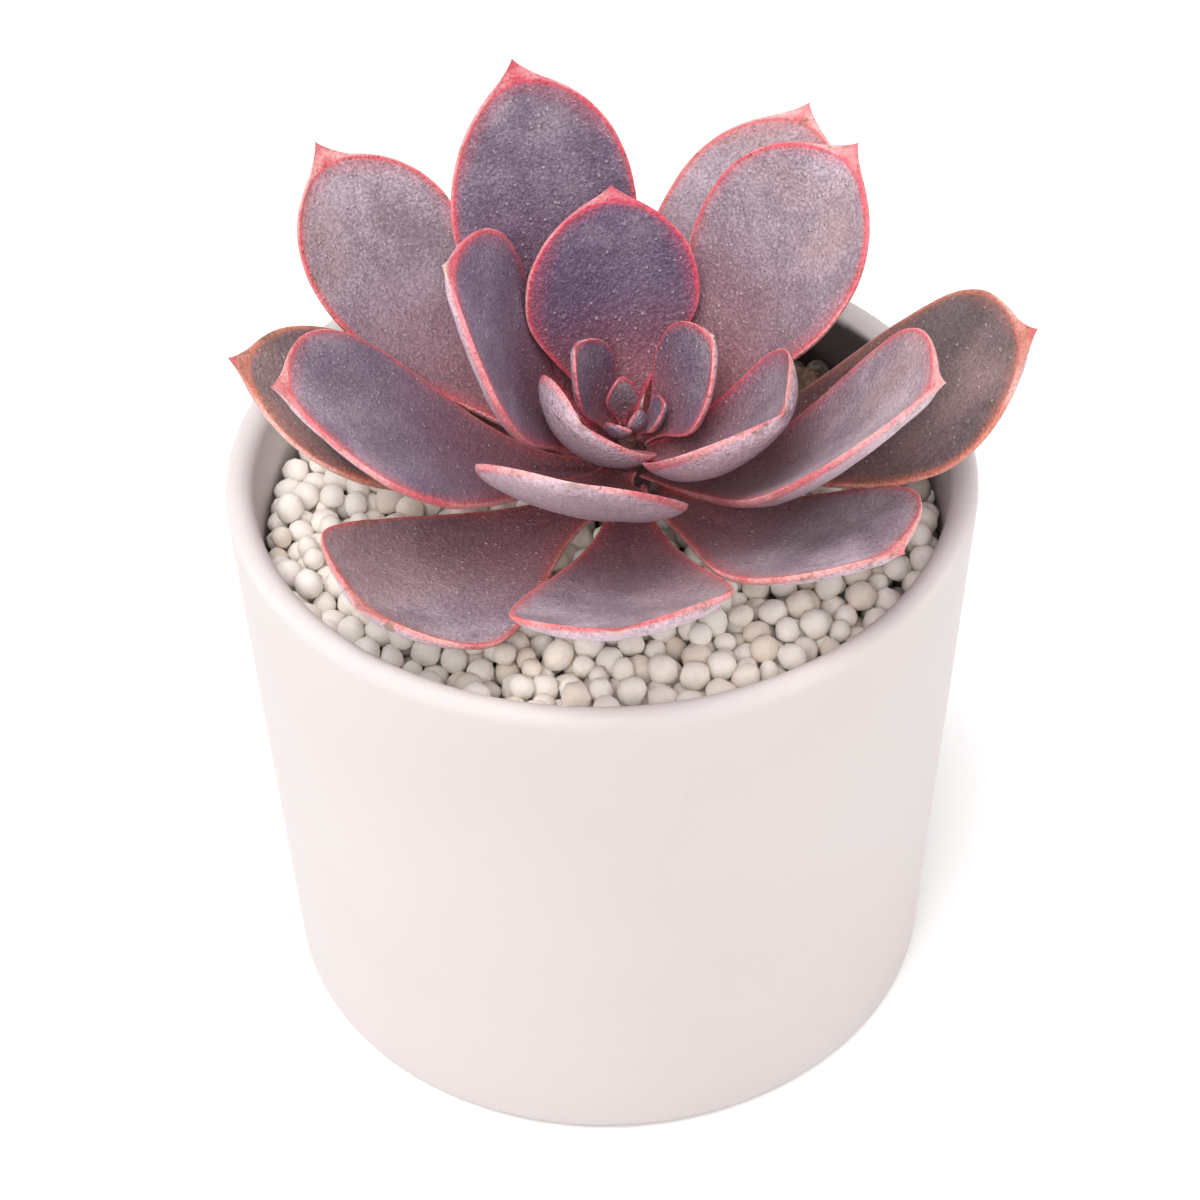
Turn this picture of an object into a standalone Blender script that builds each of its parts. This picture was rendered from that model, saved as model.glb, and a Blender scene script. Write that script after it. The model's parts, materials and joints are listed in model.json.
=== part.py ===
"""A rosette succulent in a round ceramic pot, dressed with clay beads.

Every piece is its own object, in metres, +Z up. The origin is the middle of the
pot's flat underside. The front of the pot faces -Y.
"""

from math import cos, hypot, pi, radians, sin, sqrt
from typing import NamedTuple

import bmesh
import bpy
from mathutils import Matrix, Vector

MM = 0.001
GAP = 0.3 * MM  # clearance that touching pieces keep
CUT_PAST = 2.0 * MM  # how far a cutter runs past the face it cuts
WELD = 0.001 * MM  # points nearer than this are one point
TURN_STEPS = 60  # sides of a turned piece
CRISP = 40  # degrees between two faces from which their edge stays crisp

# Pot
POT_TOP_RADIUS = 50.0 * MM
POT_BASE_RADIUS = 45.5 * MM
POT_HEIGHT = 83.0 * MM
POT_WALL = 3.8 * MM
POT_FLOOR = 6.0 * MM
POT_FOOT_ROUND = 1.5 * MM  # round between the underside and the side
POT_INNER_ROUND = 5.0 * MM  # round between the inner floor and the wall
FOOT_STEPS = 3
RIM_STEPS = 8
INNER_STEPS = 4

# What fills it
BED_DROP = 6.0 * MM  # rim down to the tops of the beads
BED_DEPTH = 8.5 * MM  # two layers of beads
MIX_SETTLE = 0.4 * MM  # mix down from the underside of the beads

# Stem
STEM_X = 3.4 * MM  # the plant stands a little to the right of the pot's axis
STEM_RADIUS = 4.2 * MM  # where it leaves the beads
STEM_TIP_RADIUS = 1.0 * MM
STEM_RISE = 11.5 * MM  # tops of the beads up to the growing tip
STEM_ROOT = 12.0 * MM  # how far the root end goes down into the mix
ROOT_END = -72  # degrees below level where the rounded root end starts
ROOT_STEPS = 4
TIP_END = 60  # degrees above level where the rounded tip ends
TIP_STEPS = 2

# Leaves
LOWEST_SEAT = 2.0 * MM  # first leaf above the tops of the beads
SEAT_PITCH = 0.45 * MM  # climb along the stem from one leaf to the next
LEAF_THIN = 1.0 * MM  # thickness that every leaf has
LEAF_THICKEN = 0.07  # and what it gains for each unit of its width
NECK_SHARE = 0.18  # width at the stem, as a share of the widest
BLADE_END = 0.955  # share of the length where the blade gives way to the point
BLADE_POWER = 2.1  # how blunt the blade's end is
POINT_SHARE = 0.15  # width of the point's root, as a share of the widest
POINT_THINNING = 2.0  # width, in roots of the point, below which the leaf thins
EDGE_POWER = 2.6  # how square the margin is
UPPER_SHARE = 0.25  # part of the thickness that lies above the centre surface
THIN_END = 0.38  # thickness at the neck and the end, as a share of the thickest
HANDLE = 0.35  # pull of each end on the centre line, as a share of the length
RINGS = 12
RING_POINTS = 10
RING_CROWDING = 1.6  # rings stand closer together near the point

# Finishes: name, colour, roughness
GLAZE = ("matt_glaze", (0.78, 0.72, 0.71), 0.55)
PEAT = ("peat", (0.07, 0.04, 0.025), 0.95)
CLAY = ("clay_beads", (0.82, 0.78, 0.72), 0.7)
BARK = ("stem_bark", (0.25, 0.16, 0.10), 0.8)
BLADE = ("leaf_blade", (0.30, 0.22, 0.28), 0.5)


class Leaf(NamedTuple):
    """One leaf: lengths in millimetres, angles in degrees.

    heading is counted from +X towards +Y. reach and rise take the neck to the
    point. neck_lift and point_lift are the slopes of its two ends. widest is the
    share of the length where it is widest. cup is how far each margin turns up,
    roll how far the blade has turned about its own length at the point, and sway
    how far the point has moved sideways.
    """

    heading: float
    reach: float
    rise: float
    neck_lift: float
    point_lift: float
    width: float
    widest: float
    cup: float
    roll: float
    sway: float


# From the lowest leaf, which is the outermost, up to the growing tip.
LEAVES = (
    Leaf(221, 46, 12, 4, 42, 29, 0.74, 20, -5, 6),
    Leaf(313, 46.5, 19.8, 2, 31, 26.5, 0.70, 20, -1, -2),
    Leaf(178, 47, 23, 15, 40, 27, 0.63, 8, -4, 4),
    Leaf(-3, 48, 30, 18, 56, 29, 0.69, 9, 12, -6),
    Leaf(151, 44, 36, 17, 62, 26, 0.69, 20, -17, -3),
    Leaf(271, 49, 19, -2, 40, 28, 0.79, 22, 6, -3),
    Leaf(56, 42, 32, 24, 39, 27, 0.61, 16, 0, 0),
    Leaf(196, 44, 29, 5, 36, 28.5, 0.65, 14, -9, 6),
    Leaf(-32, 44, 35, 2, 45, 28, 0.70, 30, 11, -4),
    Leaf(120, 25, 47, 34, 75, 27, 0.62, 18, -2, 0),
    Leaf(250, 31, 24, 12, 52, 27.5, 0.60, 15, 4, 5),
    Leaf(33, 32, 37, 33, 54, 29, 0.65, 23, 7, -2),
    Leaf(180, 20, 36, 26, 60, 28.5, 0.60, 20, -9, 7),
    Leaf(322, 25, 22, 26, 62, 28.5, 0.58, 52, 5, -4),
    Leaf(103, 13, 31, 47, 72, 24, 0.56, 13, 6, -2),
    Leaf(228, 13, 16, 40, 72, 20.5, 0.55, 46, -8, 6),
    Leaf(12, 9, 17, 46, 70, 17, 0.50, 18, 9, -2),
    Leaf(155, 4, 16, 57, 81, 11, 0.55, 31, -2, 3),
    Leaf(106, 0.2, 8.5, 64, 88, 4.8, 0.58, 25, 5, 0),
    Leaf(355, 3.5, 6.5, 52, 65, 5.8, 0.58, 26, 10, -2),
    Leaf(245, 2.5, 4, 55, 65, 4, 0.55, 30, 0, 0),
    Leaf(310, 1, 4.5, 60, 80, 3, 0.55, 20, 0, 0),
)

BED_TOP = POT_HEIGHT - BED_DROP
BED_UNDER = BED_TOP - BED_DEPTH
MIX_TOP = BED_UNDER - MIX_SETTLE


def clear_scene():
    for obj in list(bpy.data.objects):
        bpy.data.objects.remove(obj, do_unlink=True)


def finish(name, colour, roughness):
    material = bpy.data.materials.new(name)
    material.use_nodes = True
    shader = material.node_tree.nodes["Principled BSDF"]
    shader.inputs["Base Color"].default_value = (*colour, 1.0)
    shader.inputs["Roughness"].default_value = roughness
    shader.inputs["Metallic"].default_value = 0.0
    return material


def object_from(bm, name, material):
    mesh = bpy.data.meshes.new(name)
    bm.to_mesh(mesh)
    bm.free()
    mesh.shade_smooth()
    mesh.set_sharp_from_angle(angle=radians(CRISP))
    if material:
        mesh.materials.append(material)
    obj = bpy.data.objects.new(name, mesh)
    bpy.context.scene.collection.objects.link(obj)
    return obj


def arc(centre_r, centre_z, radius, start, end, steps):
    """Points of an arc in a (radius, height) outline, angles in degrees."""
    points = []
    for i in range(steps + 1):
        angle = radians(start + (end - start) * i / steps)
        points.append((centre_r + radius * cos(angle), centre_z + radius * sin(angle)))
    return points


def turned(name, outline, material, x=0.0):
    """A closed solid: the outline of (radius, height) points spun about an upright axis.

    The outline starts and ends on the axis.
    """
    bm = bmesh.new()
    verts = [bm.verts.new((r, 0.0, z)) for r, z in outline]
    edges = [bm.edges.new(pair) for pair in zip(verts, verts[1:])]
    bmesh.ops.spin(
        bm,
        geom=verts + edges,
        cent=(0.0, 0.0, 0.0),
        axis=(0.0, 0.0, 1.0),
        angle=2 * pi,
        steps=TURN_STEPS,
        use_merge=True,
    )
    bmesh.ops.remove_doubles(bm, verts=bm.verts, dist=WELD)
    bmesh.ops.recalc_face_normals(bm, faces=bm.faces)
    obj = object_from(bm, name, material)
    obj.location.x = x
    return obj


def cut(obj, cutter):
    cutter.hide_render = True
    cutter.display_type = "WIRE"
    modifier = obj.modifiers.new("hole", "BOOLEAN")
    modifier.operation = "DIFFERENCE"
    modifier.solver = "EXACT"
    modifier.object = cutter


def pot_side(z):
    """Radius of the pot's outer side at a height."""
    return POT_BASE_RADIUS + (POT_TOP_RADIUS - POT_BASE_RADIUS) * z / POT_HEIGHT


def bore(z, clearance=0.0):
    """Radius of the pot's inside at a height, less a clearance."""
    return pot_side(z) - POT_WALL - clearance


def make_pot():
    foot = POT_FOOT_ROUND
    rim = POT_WALL / 2
    inner = POT_INNER_ROUND
    shoulder_z = POT_HEIGHT - rim
    inner_z = POT_FLOOR + inner
    outline = [(0.0, 0.0)]
    outline += arc(pot_side(foot) - foot, foot, foot, -90, 0, FOOT_STEPS)
    outline += arc(pot_side(shoulder_z) - rim, shoulder_z, rim, 0, 180, RIM_STEPS)
    outline += arc(bore(inner_z) - inner, inner_z, inner, 0, -90, INNER_STEPS)
    outline.append((0.0, POT_FLOOR))
    return turned("pot", outline, finish(*GLAZE))


def make_growing_mix():
    floor = POT_FLOOR + GAP
    inner = POT_INNER_ROUND
    inner_z = floor + inner
    outline = [(0.0, floor)]
    outline += arc(bore(inner_z, GAP) - inner, inner_z, inner, -90, 0, INNER_STEPS)
    outline.append((bore(MIX_TOP, GAP), MIX_TOP))
    outline.append((0.0, MIX_TOP))
    mix = turned("growing_mix", outline, finish(*PEAT))
    radius = STEM_RADIUS + GAP
    bottom = BED_UNDER - STEM_ROOT - GAP
    top = MIX_TOP + CUT_PAST
    socket = [(0.0, bottom), (radius, bottom), (radius, top), (0.0, top)]
    cut(mix, turned("stem_socket", socket, None, STEM_X))


def make_bead_bed():
    outline = [
        (0.0, BED_UNDER),
        (bore(BED_UNDER, GAP), BED_UNDER),
        (bore(BED_TOP, GAP), BED_TOP),
        (0.0, BED_TOP),
    ]
    bed = turned("bead_bed", outline, finish(*CLAY))
    radius = STEM_RADIUS + GAP
    bottom = BED_UNDER - CUT_PAST
    top = BED_TOP + CUT_PAST
    hole = [(0.0, bottom), (radius, bottom), (radius, top), (0.0, top)]
    cut(bed, turned("stem_hole", hole, None, STEM_X))


def stem_side(z):
    """Radius of the stem above the beads at a height."""
    share = min(max((z - BED_TOP) / STEM_RISE, 0.0), 1.0)
    return STEM_RADIUS + (STEM_TIP_RADIUS - STEM_RADIUS) * share


def make_stem():
    bottom = BED_UNDER - STEM_ROOT
    top = BED_TOP + STEM_RISE
    outline = [(0.0, bottom)]
    outline += arc(0.0, bottom + STEM_RADIUS, STEM_RADIUS, ROOT_END, 0, ROOT_STEPS)
    outline.append((STEM_RADIUS, BED_TOP))
    outline += arc(0.0, top - STEM_TIP_RADIUS, STEM_TIP_RADIUS, 0, TIP_END, TIP_STEPS)
    outline.append((0.0, top))
    turned("stem", outline, finish(*BARK), STEM_X)


def blade_share(leaf, u):
    """Width of a leaf at a share u of its length, as a share of its widest."""
    if u < leaf.widest:
        return NECK_SHARE + (1 - NECK_SHARE) * sin(pi / 2 * u / leaf.widest) ** 2
    past = min((u - leaf.widest) / (BLADE_END - leaf.widest), 1.0)
    blade = sqrt(max(1 - past**BLADE_POWER, 0.0))
    point = POINT_SHARE * min((1 - u) / (1 - BLADE_END), 1.0) * past**3
    return hypot(blade, point)


def thickness(leaf, u):
    """Thickness of a leaf at a share u of its length."""
    full = LEAF_THIN + LEAF_THICKEN * leaf.width * MM
    along = THIN_END + (1 - THIN_END) * sin(pi * u)
    point = blade_share(leaf, u) / (POINT_THINNING * POINT_SHARE)
    return full * along * min(1.0, point)


def centre_line(leaf, u):
    """Place and slope of the centre line at u, as (out, up) pairs from the neck."""
    length = hypot(leaf.reach, leaf.rise) * MM
    end = Vector((leaf.reach, leaf.rise)) * MM
    near = Vector((cos(radians(leaf.neck_lift)), sin(radians(leaf.neck_lift))))
    far = Vector((cos(radians(leaf.point_lift)), sin(radians(leaf.point_lift))))
    first = near * HANDLE * length
    second = end - far * HANDLE * length
    v = 1 - u
    place = 3 * v * v * u * first + 3 * v * u * u * second + u**3 * end
    slope = 3 * v * v * first + 6 * v * u * (second - first) + 3 * u * u * (end - second)
    return place, slope


def leaf_ring(leaf, neck, u):
    """Points round the leaf at a share u of its length."""
    heading = radians(leaf.heading)
    out = Vector((cos(heading), sin(heading), 0.0))
    side = Vector((-sin(heading), cos(heading), 0.0))
    up = Vector((0.0, 0.0, 1.0))
    place, slope = centre_line(leaf, u)
    centre = neck + place.x * out + place.y * up + leaf.sway * MM * u * u * side
    tangent = (slope.x * out + slope.y * up + 2 * leaf.sway * MM * u * side).normalized()
    normal = (-slope.y * out + slope.x * up).normalized()
    across = normal.cross(tangent).normalized()
    turn = Matrix.Rotation(radians(leaf.roll) * u, 3, tangent)
    normal = turn @ normal
    across = turn @ across
    half = leaf.width * MM / 2 * blade_share(leaf, u)
    thick = thickness(leaf, u)
    cup = radians(leaf.cup)
    points = []
    for i in range(RING_POINTS):
        angle = 2 * pi * i / RING_POINTS
        share = abs(cos(angle)) ** (2 / EDGE_POWER) * (1 if cos(angle) > 0 else -1)
        depth = abs(sin(angle)) ** (2 / EDGE_POWER)
        depth *= UPPER_SHARE if sin(angle) > 0 else UPPER_SHARE - 1
        wide = half * sin(cup * share) / cup
        high = half * (1 - cos(cup * share)) / cup
        points.append(centre + wide * across + (high + thick * depth) * normal)
    return points


def make_leaf(number, leaf, material):
    seat = BED_TOP + LOWEST_SEAT + SEAT_PITCH * number
    radius = stem_side(seat) + GAP + thickness(leaf, 0.0) / 2
    heading = radians(leaf.heading)
    neck = Vector((STEM_X + radius * cos(heading), radius * sin(heading), seat))
    bm = bmesh.new()
    rings = []
    for i in range(RINGS):
        u = 1 - (1 - i / RINGS) ** RING_CROWDING
        rings.append([bm.verts.new(p) for p in leaf_ring(leaf, neck, u)])
    point = bm.verts.new(leaf_ring(leaf, neck, 1.0)[0])
    bm.faces.new(rings[0])
    for low, high in zip(rings, rings[1:]):
        for i in range(RING_POINTS):
            j = (i + 1) % RING_POINTS
            bm.faces.new((low[i], low[j], high[j], high[i]))
    for i in range(RING_POINTS):
        bm.faces.new((rings[-1][i], rings[-1][(i + 1) % RING_POINTS], point))
    bmesh.ops.recalc_face_normals(bm, faces=bm.faces)
    object_from(bm, f"leaf_{number + 1:02d}", material)


def main():
    clear_scene()
    make_pot()
    make_growing_mix()
    make_bead_bed()
    make_stem()
    blade = finish(*BLADE)
    for number, leaf in enumerate(LEAVES):
        make_leaf(number, leaf, blade)


main()
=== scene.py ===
"""The looks of a potted rosette succulent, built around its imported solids.

It is laid out as an add-on: the sizes and colours are properties, each piece or group
of like pieces has an operator, and a panel in the sidebar lists them. Everything is in
metres, +Z up, with the origin in the middle of the pot's underside.
"""

import json
from math import atan2, cos, hypot, pi, radians, sin
from typing import NamedTuple

import bmesh
import bpy
import numpy as np
from bpy.props import (
    FloatProperty,
    FloatVectorProperty,
    IntProperty,
    PointerProperty,
)
from mathutils import Matrix, Vector, noise


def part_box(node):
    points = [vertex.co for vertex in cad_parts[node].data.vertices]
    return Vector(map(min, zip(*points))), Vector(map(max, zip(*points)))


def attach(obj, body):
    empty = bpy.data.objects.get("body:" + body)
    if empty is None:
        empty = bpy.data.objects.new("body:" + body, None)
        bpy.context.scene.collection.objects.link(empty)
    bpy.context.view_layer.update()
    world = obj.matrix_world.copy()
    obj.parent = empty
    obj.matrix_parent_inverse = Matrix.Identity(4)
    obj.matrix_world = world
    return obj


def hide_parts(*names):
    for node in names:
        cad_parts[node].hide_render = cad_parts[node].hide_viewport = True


bl_info = {
    "name": "Potted rosette succulent",
    "version": (1, 0, 0),
    "blender": (4, 5, 0),
    "location": "View3D > Sidebar > Succulent",
    "description": "Pot, clay beads, stem and leaves of a rosette succulent",
    "category": "Object",
}

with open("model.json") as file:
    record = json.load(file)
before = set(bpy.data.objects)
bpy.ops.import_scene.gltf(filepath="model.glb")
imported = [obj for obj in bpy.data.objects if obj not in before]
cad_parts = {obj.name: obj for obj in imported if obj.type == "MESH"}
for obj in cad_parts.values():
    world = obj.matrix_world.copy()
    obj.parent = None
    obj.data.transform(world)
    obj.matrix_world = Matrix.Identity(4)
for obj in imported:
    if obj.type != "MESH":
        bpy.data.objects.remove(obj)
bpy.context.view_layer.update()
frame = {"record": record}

MM = 0.001
WELD = 0.0003 * MM  # the smallest distance told apart; nearer points of a leaf are merged
ON_AXIS = 0.001 * MM  # a point of an outline nearer to the axis than this lies on it
CRISP = 40  # degrees between two faces from which their edge stays crisp
SIDE_TRIM = 0.09 * MM  # the pot's side leans out this much more, so the rim reaches full width

POT_LOW, POT_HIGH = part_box("pot")
BED_LOW, BED_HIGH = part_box("bead_bed")
MIX_LOW, MIX_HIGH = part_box("growing_mix")
STEM_LOW, STEM_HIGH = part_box("stem")
STEM_X = (STEM_LOW[0] + STEM_HIGH[0]) / 2
STEM_RADIUS = (STEM_HIGH[0] - STEM_LOW[0]) / 2

# Leaves, as the solids have them. Shares are of the length, the width or the thickness.
GAP = 0.3 * MM  # between a piece and its neighbours
STEM_TIP_RADIUS = 1.0 * MM
LOWEST_SEAT = 2.0 * MM
SEAT_PITCH = 0.45 * MM
LEAF_THIN = 1.0 * MM
LEAF_THICKEN = 0.07
NECK_SHARE = 0.18
BLADE_POWER = 2.1
POINT_SHARE = 0.15
POINT_THINNING = 2.0
EDGE_POWER = 2.6
UPPER_SHARE = 0.25
THIN_END = 0.38
HANDLE = 0.35
RING_CROWDING = 1.6

# Finer than in the solids: the blade gives way sooner to a longer, hollow-sided point,
# and the smallest leaves end less bluntly.
BLADE_END = 0.94
HOOK_SHARE = 0.27
HOOK_POWER = 1.3
HOOK_RISE = 6.0  # how late the point shows beside the blade
BUD_POWER = 1.3  # how blunt the smallest leaves end, against BLADE_POWER
BUD_WIDTHS = (4 * MM, 18 * MM)  # widths between which the end gets blunt
PALE_WIDTHS = (5 * MM, 14 * MM)  # widths between which the underside gets pale
RIM_WIDTHS = (24 * MM, 3 * MM)  # widths between which the margin gets narrower
RIM_NARROWING = 3.2
WANDER = 0.05  # how far a margin strays, as a share of the width
SWELL_SCALE = 110.0  # swells of a blade to a metre
CHANNEL_SHARE = 0.16  # half-width of the groove along the middle
SHAPE_STEP = 1.7  # keeps the swells of two leaves apart
USUAL_WIDTH = 28.0  # millimetres of width that the ripple is meant for


class Leaf(NamedTuple):
    """One leaf: lengths in millimetres, angles in degrees, then its looks from 0 to 1.

    age takes the skin from the violet of the bud to the grey-brown of the outer leaves,
    rim_age takes the margin from pink to orange, and dry_tip is how dry its point is.
    """

    heading: float
    reach: float
    rise: float
    neck_lift: float
    point_lift: float
    width: float
    widest: float
    cup: float
    roll: float
    sway: float
    age: float
    rim_age: float
    dry_tip: float


# From the lowest leaf, which is the outermost, up to the growing tip.
LEAVES = (
    Leaf(221, 46, 12, 4, 42, 29, 0.74, 20, -5, 6, 0.60, 0.45, 0.5),
    Leaf(313, 46.5, 19.8, 2, 31, 26.5, 0.70, 20, -1, -2, 0.60, 0.35, 0.3),
    Leaf(178, 47, 23, 15, 40, 27, 0.63, 8, -4, 4, 1.00, 0.90, 0.2),
    Leaf(-3, 48, 30, 18, 56, 29, 0.69, 9, 12, -6, 1.00, 0.80, 0.1),
    Leaf(151, 44, 36, 17, 62, 26, 0.69, 20, -17, -3, 0.78, 0.25, 0.1),
    Leaf(271, 49, 19, -2, 40, 28, 0.79, 22, 6, -3, 0.44, 0.35, 0.6),
    Leaf(56, 42, 32, 24, 39, 27, 0.61, 16, 0, 0, 0.78, 0.35, 0.1),
    Leaf(196, 44, 29, 5, 36, 28.5, 0.65, 14, -9, 6, 0.22, 0.30, 0.4),
    Leaf(-32, 44, 35, 2, 45, 28, 0.70, 30, 11, -4, 0.55, 0.25, 0.6),
    Leaf(120, 25, 47, 34, 75, 27, 0.62, 18, -2, 0, 0.22, 0.15, 0.0),
    Leaf(250, 31, 24, 12, 52, 27.5, 0.60, 15, 4, 5, 0.45, 0.20, 0.7),
    Leaf(33, 32, 37, 33, 54, 29, 0.65, 23, 7, -2, 0.55, 0.20, 0.2),
    Leaf(180, 20, 36, 26, 60, 28.5, 0.60, 20, -9, 7, 0.12, 0.10, 0.9),
    Leaf(322, 25, 22, 26, 62, 28.5, 0.58, 52, 5, -4, 0.34, 0.10, 0.4),
    Leaf(103, 13, 31, 47, 72, 24, 0.56, 13, 6, -2, 0.05, 0.00, 0.0),
    Leaf(228, 13, 16, 40, 72, 20.5, 0.55, 46, -8, 6, 0.22, 0.05, 0.6),
    Leaf(12, 9, 17, 46, 70, 17, 0.50, 18, 9, -2, 0.25, 0.15, 1.0),
    Leaf(155, 4, 16, 57, 81, 11, 0.55, 31, -2, 3, 0.15, 0.05, 0.0),
    Leaf(106, 0.2, 8.5, 64, 88, 4.8, 0.58, 25, 5, 0, 0.75, 0.00, 0.0),
    Leaf(355, 3.5, 6.5, 52, 65, 5.8, 0.58, 26, 10, -2, 0.15, 0.10, 1.0),
    Leaf(245, 2.5, 4, 55, 65, 4, 0.55, 30, 0, 0, 0.30, 0.00, 0.0),
    Leaf(310, 1, 4.5, 60, 80, 3, 0.55, 20, 0, 0, 0.30, 0.00, 0.0),
)
SMALL_LEAF = 12.0  # millimetres of width under which a leaf takes fewer faces


# Properties


def length(name, description, default):
    return FloatProperty(
        name=name, description=description, default=default, unit="LENGTH", precision=5
    )


def whole(name, description, default, least):
    return IntProperty(name=name, description=description, default=default, min=least)


def amount(name, description, default):
    return FloatProperty(name=name, description=description, default=default, min=0.0)


def angle(name, description, degrees):
    return FloatProperty(
        name=name, description=description, default=radians(degrees), subtype="ANGLE"
    )


def colour(name, description, default):
    return FloatVectorProperty(
        name=name, description=description, default=default, subtype="COLOR", min=0.0, max=1.0
    )


class PotSettings(bpy.types.PropertyGroup):
    """Sizes and colours of the pot."""

    base_radius: length("Base radius", "Radius of the side, carried on to the foot", 45.5 * MM)
    wall: length("Wall", "Thickness of the side", 3.8 * MM)
    floor: length("Floor", "Thickness of the floor", 6.0 * MM)
    foot_round: length("Foot round", "Round between the underside and the side", 1.5 * MM)
    inner_round: length("Inner round", "Round between the inner floor and the wall", 5.0 * MM)
    sides: whole("Sides", "Faces round the pot", 192, 24)
    glaze: colour("Glaze", "Matt off-white glaze", (0.575, 0.525, 0.515))
    glaze_warm: colour("Warm glaze", "Glaze where it lies thinner", (0.565, 0.505, 0.49))
    clay: colour("Clay", "Bare clay of the foot", (0.55, 0.45, 0.38))
    # painted shade on the inner wall behind the plant, nearly black
    soil_stain: colour("Soil stain", "Painted shade on the inner wall", (0.045, 0.032, 0.028))


class BeadSettings(bpy.types.PropertyGroup):
    """Sizes and colours of the clay beads and of the mix under them."""

    smallest: length("Smallest bead", "Diameter of the smallest bead", 2.7 * MM)
    largest: length("Largest bead", "Diameter of the largest bead", 4.1 * MM)
    count: whole("Beads", "How many beads lie on the mix", 1500, 1)
    settling: whole("Settling", "Rounds in which the beads settle", 260, 1)
    pale: colour("Pale clay", "Most beads", (0.985, 0.93, 0.865))
    deep: colour("Deep clay", "The darkest beads and their hollows", (0.86, 0.75, 0.64))
    # also the colour towards which the beads take their painted shade
    soil: colour("Potting mix", "Dark crumbs under the beads", (0.055, 0.034, 0.022))
    crumb: length("Crumb", "Size of the crumbs of the mix", 1.3 * MM)
    seed: whole("Seed", "Picks the sizes and places of the beads", 7, 0)


class LeafSettings(bpy.types.PropertyGroup):
    """Colours and surface of the leaves and the stem."""

    young: colour("Young skin", "Violet of the inner leaves", (0.105, 0.066, 0.135))
    grown: colour("Grown skin", "Grey-mauve of the middle leaves", (0.21, 0.145, 0.18))
    old: colour("Old skin", "Dark brown of the outermost leaves", (0.105, 0.070, 0.066))
    bloom: colour("Bloom", "Pale waxy bloom in patches", (0.485, 0.385, 0.445))
    russet: colour("Russet", "Brown-rose clouds of the grown leaves", (0.33, 0.205, 0.20))
    under: colour("Underside", "Pale lilac of the undersides", (0.56, 0.425, 0.485))
    flush: colour("Flush", "Red flush at the neck", (0.27, 0.085, 0.10))
    rim_pink: colour("Pink rim", "Margin of the young leaves", (0.66, 0.07, 0.125))
    rim_orange: colour("Orange rim", "Margin of the old leaves", (0.50, 0.19, 0.11))
    dry: colour("Dry skin", "Dry points and dead leaves", (0.21, 0.115, 0.07))
    bark: colour("Stem", "Corky skin of the stem", (0.26, 0.13, 0.115))
    rim_width: length("Rim width", "Width of the coloured margin", 0.5 * MM)
    ripple: length("Ripple", "Height of the soft swells of a blade", 0.35 * MM)
    steps_along: whole("Steps along", "Faces along a leaf", 64, 8)
    steps_round: whole("Steps round", "Faces round a leaf", 56, 8)


class StageSettings(bpy.types.PropertyGroup):
    """Camera, light and floor."""

    lens: amount("Lens", "Focal length in millimetres", 100.9)
    camera_back: length("Camera back", "How far the camera stands in front of the pot", 0.3436)
    camera_height: length("Camera height", "How high the camera stands", 0.3674)
    camera_tilt: angle("Tilt", "How far the camera looks down", 42.0)
    camera_turn: angle("Turn", "How far the camera looks to the right", -0.09)
    camera_roll: angle("Roll", "How far the camera leans", -1.03)
    floor: colour("Floor", "Plain pale floor", (0.93, 0.93, 0.93))
    sky: amount("Sky", "Strength of the light from all round", 0.55)
    key: amount("Key", "Power of the large lamp in watts", 6.5)


# Node trees


class Value:
    """A number or a vector that the nodes of a tree work out."""

    def __init__(self, wiring, socket, vector=False):
        self.wiring = wiring
        self.socket = socket
        self.vector = vector

    def __add__(self, other):
        return self.wiring.combine("ADD", self, other)

    def __radd__(self, other):
        return self.wiring.combine("ADD", other, self)

    def __sub__(self, other):
        return self.wiring.combine("SUBTRACT", self, other)

    def __rsub__(self, other):
        return self.wiring.combine("SUBTRACT", other, self)

    def __mul__(self, other):
        return self.wiring.combine("MULTIPLY", self, other)

    def __truediv__(self, other):
        return self.wiring.math("DIVIDE", self, other)

    def __pow__(self, other):
        return self.wiring.math("POWER", self, other)


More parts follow.
